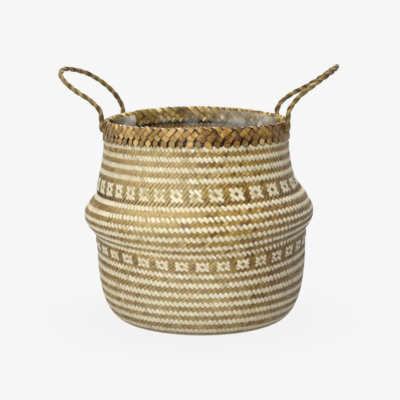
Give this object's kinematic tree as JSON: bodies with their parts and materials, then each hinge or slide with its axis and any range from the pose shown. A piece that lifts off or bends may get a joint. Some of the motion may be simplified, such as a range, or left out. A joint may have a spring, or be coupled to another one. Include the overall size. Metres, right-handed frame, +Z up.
{
  "type": "belly basket",
  "caption": "Round seagrass belly basket with a folded waist, star and stripe plait, film liner and two rope loop handles.",
  "frame": {"origin": "centre of the flat underside, on the floor", "axes": "+Z up out of the mouth, +X to the right-hand handle, +Y to the back, away from the side that the picture shows"},
  "size_m": [0.4249, 0.35, 0.3884],
  "materials": {
    "seagrass_plait": "matt dried seagrass, pale and natural strands in a diagonal plait",
    "seagrass_band": "matt natural brown seagrass strips",
    "seagrass_rope": "matt twisted seagrass rope",
    "clear_film": "clear glossy film"
  },
  "bodies": {
    "pot": {"base_mat": "seagrass_plait", "pot_wall": "seagrass_plait", "belly_fold": "seagrass_plait", "liner": "clear_film"},
    "neck": {"neck_wall": "seagrass_plait", "rim_band": "seagrass_band", "handle_left_front_end": "seagrass_rope", "handle_left_back_end": "seagrass_rope", "handle_right_front_end": "seagrass_rope", "handle_right_back_end": "seagrass_rope"},
    "handle_left": {"handle_left_loop": "seagrass_rope"},
    "handle_right": {"handle_right_loop": "seagrass_rope"}
  },
  "joints": [
    {"name": "neck_press", "type": "slide", "parent": "pot", "child": "neck", "axis": [0, 0, 1], "range_m": [-0.045, 0], "deforming": ["belly_fold", "liner"]},
    {"name": "handle_left_swing", "type": "hinge", "parent": "neck", "child": "handle_left", "pos_m": [-0.13642, 0.02613, 0.31049], "axis": [-0.1993, -0.9798, -0.0165], "range_deg": [-85, 35]},
    {"name": "handle_right_swing", "type": "hinge", "parent": "neck", "child": "handle_right", "pos_m": [0.12297, 0.00973, 0.31196], "axis": [-0.0741, 0.9972, 0.0053], "range_deg": [-85, 35]}
  ]
}
